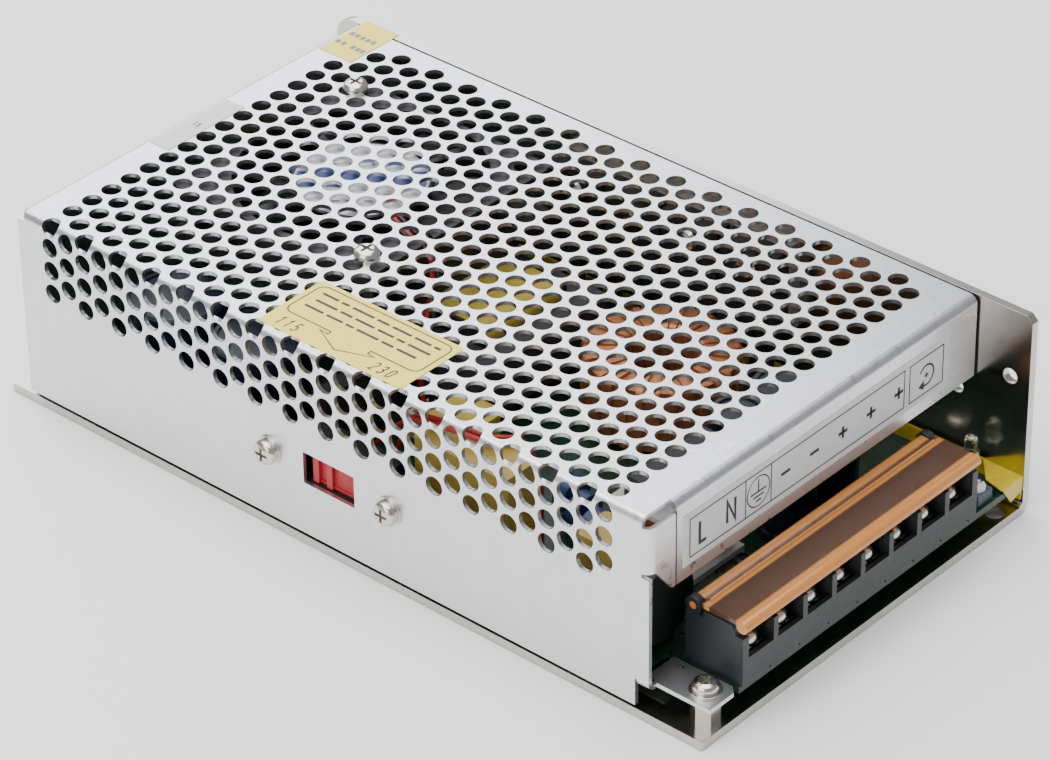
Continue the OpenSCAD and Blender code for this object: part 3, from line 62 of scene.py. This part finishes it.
class Mat:
    """A node material: colour varied by noise, roughness varied by noise, and a bump."""

    def __init__(self, name, color, metallic=0.0, rough=0.5, **sockets):
        self.m = bpy.data.materials.new(name)
        self.m.use_nodes = True
        self.tree = self.m.node_tree
        self.shader = self.tree.nodes["Principled BSDF"]
        self.set("Base Color", (*color, 1.0))
        self.set("Metallic", metallic)
        self.set("Roughness", rough)
        for key, value in sockets.items():
            self.set(key.replace("_", " "), value)
        self.coord = self.node("ShaderNodeTexCoord").outputs["Object"]
        self.height = None

    def set(self, socket, value):
        self.shader.inputs[socket].default_value = value

    def node(self, kind):
        return self.tree.nodes.new(kind)

    def link(self, a, b):
        self.tree.links.new(a, b)

    def mapped(self, scale=(1, 1, 1)):
        n = self.node("ShaderNodeMapping")
        n.inputs["Scale"].default_value = scale
        self.link(self.coord, n.inputs["Vector"])
        return n.outputs["Vector"]

    def noise(self, size_mm, detail=3.0, stretch=(1, 1, 1)):
        n = self.node("ShaderNodeTexNoise")
        n.inputs["Scale"].default_value = 1000.0 / size_mm
        n.inputs["Detail"].default_value = detail
        self.link(self.mapped(stretch), n.inputs["Vector"])
        return n.outputs["Fac"]

    def ramp(self, fac, stops):
        n = self.node("ShaderNodeValToRGB")
        e = n.color_ramp.elements
        while len(e) < len(stops):
            e.new(0.5)
        for el, (pos, col) in zip(e, stops):
            el.position = pos
            el.color = (*col, 1.0) if len(col) == 3 else col
        self.link(fac, n.inputs["Fac"])
        return n.outputs["Color"]

    def colors(self, fac, stops):
        self.link(self.ramp(fac, stops), self.shader.inputs["Base Color"])
        return self

    def vary(self, size_mm, amount, detail=3.0, stretch=(1, 1, 1)):
        """Base colour from a little darker to a little lighter."""
        c = self.shader.inputs["Base Color"].default_value[:3]
        lo = tuple(max(0.0, x * (1 - amount)) for x in c)
        hi = tuple(min(1.0, x * (1 + amount)) for x in c)
        return self.colors(self.noise(size_mm, detail, stretch), [(0.3, lo), (0.7, hi)])

    def roughness(self, size_mm, lo, hi, detail=4.0, stretch=(1, 1, 1)):
        n = self.node("ShaderNodeMapRange")
        n.inputs["From Min"].default_value = 0.3
        n.inputs["From Max"].default_value = 0.42
        n.inputs["To Min"].default_value = lo
        n.inputs["To Max"].default_value = hi
        self.link(self.noise(size_mm, detail, stretch), n.inputs["Value"])
        self.link(n.outputs["Result"], self.shader.inputs["Roughness"])
        return self

    def bump(self, size_mm, strength, depth_mm=0.05, detail=3.0, stretch=(1, 1, 1)):
        n = self.node("ShaderNodeBump")
        n.inputs["Strength"].default_value = strength
        n.inputs["Distance"].default_value = depth_mm * MM
        self.link(self.noise(size_mm, detail, stretch), n.inputs["Height"])
        if self.height:
            self.link(self.height, n.inputs["Normal"])
        self.height = n.outputs["Normal"]
        self.link(self.height, self.shader.inputs["Normal"])
        return self


def metal(name, color, rough, grain=0.15, amount=0.03, bump=0.08, stretch=(1, 1, 1)):
    m = Mat(name, color, 1.0, rough)
    m.vary(6.0, amount, stretch=stretch)
    m.roughness(2.5, rough * 0.82, min(1.0, rough * 1.25), stretch=stretch)
    m.bump(grain, bump, 0.02, stretch=stretch)
    return m.m


def plastic(name, color, rough, amount=0.08, grain=0.25, bump=0.12, **sockets):
    m = Mat(name, color, 0.0, rough, **sockets)
    m.vary(3.0, amount)
    m.roughness(1.5, rough * 0.85, min(1.0, rough * 1.2))
    m.bump(grain, bump, 0.03)
    return m.m


def clear(name, color, rough, ior=1.49, bump=0.05):
    m = Mat(name, color, 0.0, rough, Transmission_Weight=1.0, IOR=ior)
    m.vary(8.0, 0.06)
    m.bump(4.0, bump, 0.05, detail=1.5)
    return m.m


def amber_lid():
    """Clear amber plastic with painted light in its colour: the round edges are painted bright
    orange as light gathered in them, the flat sheet is painted brown as a painted shade of the dark
    inside seen through it, and one narrow band is painted darker.
    """
    m = Mat("amber", (0.7, 0.3, 0.08), 0.0, 0.12, Transmission_Weight=0.45, IOR=1.5)
    low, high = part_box("terminal_cover")
    split = m.node("ShaderNodeSeparateXYZ")
    m.link(m.coord, split.inputs["Vector"])
    n = m.node("ShaderNodeMapRange")
    n.inputs["From Min"].default_value = low[1]
    n.inputs["From Max"].default_value = high[1]
    m.link(split.outputs["Y"], n.inputs["Value"])
    # Painted light: bright orange is painted light in the round edges, brown is painted shade over
    # the flat sheet, and one narrow band is darker still.
    painted_light_orange, painted_shade_brown, dark = (0.86, 0.36, 0.09), (0.13, 0.062, 0.036), (0.2, 0.085, 0.045)
    depth = (high[1] - low[1]) / MM
    stops = [(0.0, painted_light_orange), (2.6 / depth, painted_light_orange), (3.2 / depth, painted_shade_brown), (9.8 / depth, painted_shade_brown),
             (10.0 / depth, painted_light_orange), (11.1 / depth, painted_light_orange), (11.4 / depth, dark),
             (12.4 / depth, dark), (12.8 / depth, painted_light_orange), (1.0, painted_light_orange)]
    m.colors(n.outputs["Result"], stops)
    m.roughness(4.0, 0.08, 0.16)
    m.bump(5.0, 0.25, 0.05, detail=2.0)
    return m.m


MATERIALS = {
    "base_metal": metal("base_metal", (0.52, 0.5, 0.46), 0.17, amount=0.06, stretch=(1, 0.15, 1)),
    "cover_metal": metal("cover_metal", (0.7, 0.705, 0.725), 0.27, amount=0.03),
    "nickel": metal("nickel", (0.62, 0.59, 0.53), 0.18, grain=0.3),
    "spreader_metal": metal("spreader_metal", (0.6, 0.58, 0.52), 0.4),
    "block_black": plastic("block_black", (0.0125, 0.016, 0.018), 0.36),
    "black_plastic": plastic("black_plastic", (0.006, 0.006, 0.0065), 0.5),
    "epoxy_black": plastic("epoxy_black", (0.012, 0.012, 0.013), 0.55, grain=0.12),
    "ferrite": plastic("ferrite", (0.03, 0.03, 0.034), 0.5, grain=0.2, bump=0.3),
    "sleeve_dark": plastic("sleeve_dark", (0.008, 0.012, 0.024), 0.22, bump=0.03),
    "tape_yellow": plastic("tape_yellow", (0.5, 0.38, 0.06), 0.3, amount=0.12, grain=1.2),
    "core_yellow": plastic("core_yellow", (0.45, 0.36, 0.08), 0.5),
    "box_yellow": plastic("box_yellow", (0.42, 0.3, 0.06), 0.28, bump=0.04),
    "disc_blue": plastic("disc_blue", (0.02, 0.05, 0.15), 0.25),
    "disc_green": plastic("disc_green", (0.008, 0.012, 0.011), 0.35),
    "bobbin_grey": plastic("bobbin_grey", (0.5, 0.5, 0.48), 0.5),
    "pad_grey": plastic("pad_grey", (0.3, 0.31, 0.32), 0.7),
    "resistor_grey": plastic("resistor_grey", (0.1, 0.12, 0.15), 0.5),
    "ivory": plastic("ivory", (0.6, 0.56, 0.45), 0.45),
    "slider_red": plastic("slider_red", (0.36, 0.016, 0.02), 0.42),
    "wire_red": plastic("wire_red", (0.36, 0.015, 0.012), 0.35),
    "wire_black": plastic("wire_black", (0.01, 0.01, 0.01), 0.35),
    "trimmer_blue": plastic("trimmer_blue", (0.05, 0.07, 0.1), 0.45),
    "rotor_white": plastic("rotor_white", (0.72, 0.7, 0.64), 0.4),
    "label_white": plastic("label_white", (0.62, 0.62, 0.62), 0.38, amount=0.03, bump=0.03),
    "label_yellow": plastic("label_yellow", (0.88, 0.7, 0.085), 0.4, amount=0.03, bump=0.03),
    "yellow_film": plastic(
        "yellow_film", (0.62, 0.46, 0.02), 0.16, amount=0.15, grain=3.0, bump=0.4),
    "clear_film": plastic("clear_film", (0.035, 0.04, 0.032), 0.15, grain=4.0),
    "board_green": plastic("board_green", (0.004, 0.028, 0.014), 0.28, amount=0.25),
    "copper": plastic("copper", (0.5, 0.2, 0.09), 0.3, amount=0.2, Metallic=0.6),
    "amber": amber_lid(),
    "led_clear": clear("led_clear", (0.86, 0.92, 0.84), 0.1),
    "fuse_glass": clear("fuse_glass", (0.86, 0.9, 0.9), 0.05),
    "ink": plastic("ink", (0.022, 0.02, 0.018), 0.5, bump=0.02),
    "ink_faint": plastic("ink_faint", (0.19, 0.19, 0.2), 0.5, bump=0.02),
    "ink_blue": plastic("ink_blue", (0.02, 0.05, 0.19), 0.4, bump=0.02),
    "ink_red": plastic("ink_red", (0.55, 0.06, 0.04), 0.4, bump=0.02),
}


def paint(obj, material):
    obj.data.materials.clear()
    obj.data.materials.append(material)


def soften(obj, width_mm, angle=38, segments=2):
    """Rounds a CAD node's edges for their highlights, without touching its own mesh."""
    weld = obj.modifiers.new("weld", "WELD")
    weld.merge_threshold = 1e-6
    b = obj.modifiers.new("edges", "BEVEL")
    b.width = width_mm * MM
    b.segments = segments
    b.limit_method = "ANGLE"
    b.angle_limit = math.radians(angle)
    b.harden_normals = False
    b.use_clamp_overlap = True


SLOTS = {s["node"]: s["material_slot"] for s in frame["record"]["subparts"]}
for name, obj in nodes.items():
    paint(obj, MATERIALS[SLOTS[name]])

EDGES = {
    "base_chassis": 0.25, "terminal_block": 0.18, "terminal_cover": 0.2,
    "terminal_clamps": 0.12, "terminal_screws": 0.12, "tab_screw": 0.12, "tab_washer": 0.08,
    "tab_standoff": 0.15, "selector_screws": 0.12, "selector_washers": 0.08, "fan_screws": 0.12,
    "selector_slider": 0.15, "trimmer_body": 0.15, "trimmer_rotor": 0.12,
}
for name, width in EDGES.items():
    soften(nodes[name], width)


# --- Prints ----------------------------------------------------------------------------------
# Ink is a thin mesh just proud of its sticker, drawn as strokes in the sticker's own plane.

INK_UP = 0.03                      # how far a print stands proud, mm
CHAR_STEP = 1.35                   # from one character to the next, in character widths
MITRE_LIMIT = 0.35                 # the sharpest corner that a stroke's mitre follows
FAN_BAND_TURN = 40                 # turn of the fan label's band, degrees


def face_plane(node, side):
    """The printed face of a thin box node: centre, u and v axes, outward normal, sizes in mm."""
    low, high = (Vector(v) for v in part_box(node))
    mid, size = (low + high) / 2, (high - low) / MM
    if side == "front":
        return Vector((mid.x, low.y, mid.z)), Vector((1, 0, 0)), Vector((0, 0, 1)), \
            Vector((0, -1, 0)), size.x, size.z
    return Vector((mid.x, mid.y, high.z)), Vector((0, -1, 0)), Vector((1, 0, 0)), \
        Vector((0, 0, 1)), size.y, size.x


def add_strip(bm, place, points, width, closed=False):
    """A flat ribbon of constant width along points, with mitred corners."""
    pts = [Vector(p) for p in points]
    count = len(pts)
    edges = []
    for i, p in enumerate(pts):
        before = pts[i - 1] if (i > 0 or closed) else None
        after = pts[(i + 1) % count] if (i < count - 1 or closed) else None
        d0 = (p - before).normalized() if before is not None else None
        d1 = (after - p).normalized() if after is not None else None
        d0, d1 = d0 or d1, d1 or d0
        n0, n1 = Vector((-d0.y, d0.x)), Vector((-d1.y, d1.x))
        mitre = (n0 + n1).normalized() if (n0 + n1).length > 1e-6 else n0
        reach = width / 2 / max(MITRE_LIMIT, mitre.dot(n0))
        edges.append((bm.verts.new(place(p + mitre * reach)),
                      bm.verts.new(place(p - mitre * reach))))
    for i in range(count if closed else count - 1):
        a, b = edges[i], edges[(i + 1) % count]
        bm.faces.new((a[1], b[1], b[0], a[0]))


def add_patch(bm, place, points):
    """One filled outline."""
    bm.faces.new([bm.verts.new(place(Vector(p))) for p in points])


def arc(cx, cy, r, a0, a1, n):
    """n + 1 points on an arc round (cx, cy), from angle a0 to a1 in degrees."""
    return [(cx + r * math.cos(math.radians(a0 + (a1 - a0) * i / n)),
             cy + r * math.sin(math.radians(a0 + (a1 - a0) * i / n))) for i in range(n + 1)]


# Plain strokes of the few characters that are used, on a field 1 wide and 1 high
GLYPHS = {
    "0": [arc(0.5, 0.72, 0.28, 0, 180, 8) + arc(0.5, 0.28, 0.28, 180, 360, 8) + [(0.78, 0.72)]],
    "1": [[(0.25, 0.78), (0.55, 1.0), (0.55, 0.0)]],
    "2": [arc(0.5, 0.72, 0.28, 170, -40, 10) + [(0.2, 0.0), (0.82, 0.0)]],
    "3": [arc(0.48, 0.74, 0.26, 160, -80, 10) + arc(0.48, 0.27, 0.27, 85, -160, 10)],
    "5": [[(0.78, 1.0), (0.28, 1.0), (0.25, 0.56)] + arc(0.48, 0.3, 0.3, 110, -150, 10)],
    "L": [[(0.2, 1.0), (0.2, 0.0), (0.8, 0.0)]],
    "N": [[(0.15, 0.0), (0.15, 1.0), (0.85, 0.0), (0.85, 1.0)]],
    "-": [[(0.1, 0.5), (0.9, 0.5)]],
    "+": [[(0.1, 0.5), (0.9, 0.5)], [(0.5, 0.12), (0.5, 0.88)]],
}


def add_text(bm, place, text, u, v, height, width, stroke, slant=0.0):
    """Characters from (u, v), the foot of the first one, leaning by slant."""
    step = width * CHAR_STEP
    for i, char in enumerate(text):
        for line in GLYPHS[char]:
            add_strip(bm, place, [(u + i * step + x * width + slant * y * height, v + y * height)
                                  for x, y in line], stroke)


def print_piece(name, node, side, ink, draw):
    """One print: draw(bm, place, half width, half height) adds its strokes, in mm."""
    mid, axis_u, axis_v, normal, size_u, size_v = face_plane(node, side)

    def place(p):
        return mid + axis_u * (p.x * MM) + axis_v * (p.y * MM) + normal * (INK_UP * MM)

    bm = bmesh.new()
    draw(bm, place, size_u / 2, size_v / 2)
    bmesh.ops.recalc_face_normals(bm, faces=bm.faces)
    for f in bm.faces:
        if f.normal.dot(normal) < 0:
            f.normal_flip()
    mesh = bpy.data.meshes.new(name)
    bm.to_mesh(mesh)
    bm.free()
    obj = bpy.data.objects.new(name, mesh)
    bpy.context.collection.objects.link(obj)
    paint(obj, MATERIALS[ink])
    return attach(obj, "case")


def terminal_print(bm, place, hu, hv):
    """Frames and plain signs over the terminals: L, N, earth, two minus, three plus, adjust."""
    line = 0.32
    low, high = -hv + 1.6, hv - 1.6
    left, box_n, box_e, right = -hu + 2.0, -hu + 19.6, -hu + 27.8, hu - 15.2
    add_strip(bm, place, [(left, low), (right, low), (right, high), (left, high)], line, True)
    for u in (box_n, box_e):
        add_strip(bm, place, [(u, low), (u, high)], line)
    add_text(bm, place, "L", left + 2.4, -2.6, 5.2, 3.4, 0.85)
    add_text(bm, place, "N", box_n - 6.4, -2.6, 5.2, 3.6, 0.85)
    mid = (box_n + box_e) / 2
    add_strip(bm, place, arc(mid, 0, 3.6, 0, 360, 40)[:-1], 0.3, True)
    add_strip(bm, place, [(mid, 3.0), (mid, -0.1)], 0.42)
    for k, half in enumerate((2.5, 1.7, 0.9)):
        add_strip(bm, place, [(mid - half, -0.1 - 1.05 * k), (mid + half, -0.1 - 1.05 * k)], 0.42)
    for k in range(5):
        u = box_e + 4.7 + 9.4 * k - 1.9
        add_text(bm, place, "-" if k < 2 else "+", u, -1.9, 3.8, 3.8, 0.8)
    box = (hu - 13.4, hu - 1.9)
    add_strip(bm, place, [(box[0], low), (box[1], low), (box[1], high), (box[0], high)], line, True)
    mid = sum(box) / 2
    turn = arc(mid, -0.2, 2.5, 150, -120, 24)
    add_strip(bm, place, turn, 0.5)
    tip = turn[-1]
    add_patch(bm, place, [(tip[0] - 1.5, tip[1] + 0.1), (tip[0] + 0.5, tip[1] - 1.2),
                          (tip[0] + 0.5, tip[1] + 1.2)])
    add_text(bm, place, "+", mid - 0.9, -1.1, 1.8, 1.8, 0.42)


def voltage_print(bm, place, hu, hv):
    """A rounded frame round rows of bars, a two-way arrow and two plain numbers."""
    line = 0.34
    top, foot = hv - 1.3, -hv + 6.4
    left, right, r = -hu + 1.4, hu - 1.4, 2.0
    a, b = -5.2, 6.2               # where the arrow leaves the frame's lower side
    tip = (-0.2, -hv + 1.9)
    add_strip(bm, place,
              [(a, foot)] + arc(left + r, foot + r, r, 270, 180, 6)
              + arc(left + r, top - r, r, 180, 90, 6) + arc(right - r, top - r, r, 90, 0, 6)
              + arc(right - r, foot + r, r, 0, -90, 6) + [(b, foot), (b, foot - 1.1)], line)
    add_strip(bm, place, [(a, foot), (a, foot - 1.1), (a - 2.4, foot - 0.9), tip,
                          (b + 2.0, foot - 1.3), (b, foot - 1.1)], line)
    for row, v in enumerate((top - 2.4, top - 5.2, top - 8.0)):
        u, k = left + 2.2 + 0.6 * (row % 2), 0
        while u < right - 3.0:
            length = (4.6, 2.2, 6.2, 3.4, 5.4)[(k + 2 * row) % 5]
            end = min(u + length, right - 2.0)
            add_strip(bm, place, [(u, v), (end, v)], 0.75)
            u, k = end + 0.9, k + 1
    add_text(bm, place, "115", left + 1.4, -hv + 1.4, 3.0, 1.7, 0.36, slant=0.15)
    add_text(bm, place, "230", right - 9.4, -hv + 1.4, 3.0, 1.7, 0.36, slant=0.15)


def seal_print(bm, place, hu, hv):
    """Two rows of blank marks."""
    for v, cuts in ((1.6, (-4.2, -2.6, -0.9, 0.8, 2.4)), (-3.0, (-4.4, -2.7, 0.2, 1.8, 3.2))):
        for u in cuts:
            add_strip(bm, place, [(u, v), (u + 1.15, v)], 1.5)


def serial_print(bm, place, hu, hv):
    """A short group of bars."""
    u, k = -hu + 2.0, 0
    while u < hu - 2.2:
        add_strip(bm, place, [(u, -0.9), (u, 0.9)], (0.35, 0.7, 0.35, 0.9)[k % 4])
        u, k = u + (1.1, 1.4, 0.9)[k % 3], k + 1


def disc_band(bm, place, radius, angle, low, high, parts=24):
    """The part of a disc between two parallel chords, turned by angle."""
    rows = []
    for i in range(parts + 1):
        v = low + (high - low) * i / parts
        half = math.sqrt(max(0.0, radius * radius - v * v))
        rows.append((Vector((-half, v)), Vector((half, v))))
    turn = Matrix.Rotation(math.radians(angle), 2)
    verts = [[bm.verts.new(place(turn @ p)) for p in row] for row in rows]
    for a, b in zip(verts, verts[1:]):
        bm.faces.new((a[0], a[1], b[1], b[0]))


def fan_print_blue(bm, place, hu, hv):
    disc_band(bm, place, hu - 0.6, FAN_BAND_TURN, -3.4, 3.2)


def fan_print_marks(bm, place, hu, hv):
    turn = Matrix.Rotation(math.radians(FAN_BAND_TURN), 2)
    for v, starts in ((-6.4, (-9, -6, -2, 1.5, 5)), (-9.2, (-6.5, -3, 1, 4)), (6.4, (-8, -3, 2, 6))):
        for u in starts:
            ends = [turn @ Vector((u, v)), turn @ Vector((u + 2.2, v))]
            add_strip(bm, place, ends, 0.7)


def fan_print_red(bm, place, hu, hv):
    turn = Matrix.Rotation(math.radians(FAN_BAND_TURN), 2)
    add_strip(bm, place, [turn @ Vector((6.5, 9.2)), turn @ Vector((9.3, 9.2))], 2.0)


print_piece("terminal_print", "terminal_label", "front", "ink", terminal_print)
print_piece("voltage_print", "voltage_sticker", "top", "ink", voltage_print)
print_piece("seal_print", "seal_sticker", "top", "ink_faint", seal_print)
print_piece("serial_print", "serial_sticker", "top", "ink_faint", serial_print)
print_piece("fan_print_blue", "fan_label", "top", "ink_blue", fan_print_blue)
print_piece("fan_print_marks", "fan_label", "top", "ink_faint", fan_print_marks)
print_piece("fan_print_red", "fan_label", "top", "ink_red", fan_print_red)


# --- Stage -----------------------------------------------------------------------------------

FLOOR_DROP = 0.0002                # the floor lies just under the part, m
FLOOR_REACH = 3.0
# The camera stands where the reference view was taken from: its axes and its place, m
CAMERA_RIGHT = Vector((0.66066, -0.75061, -0.01098))
CAMERA_UP = Vector((0.42469, 0.36166, 0.82997))
CAMERA_BACK = Vector((-0.61901, -0.55298, 0.55771))
CAMERA_PLACE = (-0.640257, -0.576543, 0.596988)
CAMERA_LENS = 163.55               # mm, on a sensor 36 mm wide


def area_light(name, place, target, size, power, color=(1, 1, 1)):
    data = bpy.data.lights.new(name, "AREA")
    data.shape = "RECTANGLE"
    data.size, data.size_y = size
    data.energy = power
    data.color = color
    obj = bpy.data.objects.new(name, data)
    bpy.context.collection.objects.link(obj)
    obj.location = place
    obj.rotation_euler = (Vector(target) - Vector(place)).to_track_quat("-Z", "Y").to_euler()
    return obj


def make_stage():
    floor_z = cad_box[0][2] - FLOOR_DROP
    bm = bmesh.new()
    bmesh.ops.create_grid(bm, x_segments=1, y_segments=1, size=FLOOR_REACH)
    mesh = bpy.data.meshes.new("floor")
    bm.to_mesh(mesh)
    bm.free()
    floor = bpy.data.objects.new("floor", mesh)
    floor.location = (0, 0, floor_z)
    bpy.context.collection.objects.link(floor)
    paint(floor, Mat("floor_paper", (0.9, 0.9, 0.9), 0.0, 0.8).vary(60, 0.01).m)
    world = bpy.data.worlds.new("studio")
    bpy.context.scene.world = world
    world.use_nodes = True
    world.node_tree.nodes["Background"].inputs["Color"].default_value = (0.93, 0.95, 1.0, 1)
    world.node_tree.nodes["Background"].inputs["Strength"].default_value = 0.42
    area_light("top_soft", (-0.1, 0.1, 1.1), (0, 0, 0), (1.3, 1.3), 24)
    area_light("rear_soft", (0.42, 0.85, 0.62), (0, 0, 0.04), (1.0, 0.7), 9, (0.94, 0.96, 1.0))
    area_light("left_soft", (-1.0, -0.1, 0.5), (0, 0, 0.02), (0.8, 0.5), 6)


def make_camera():
    data = bpy.data.cameras.new("camera")
    data.lens = CAMERA_LENS
    data.sensor_width = 36.0
    data.clip_start = 0.01
    obj = bpy.data.objects.new("camera", data)
    bpy.context.collection.objects.link(obj)
    axes = Matrix((CAMERA_RIGHT, CAMERA_UP, CAMERA_BACK)).transposed()
    obj.matrix_world = Matrix.Translation(CAMERA_PLACE) @ axes.to_4x4()
    bpy.context.scene.camera = obj


make_camera()
make_stage()
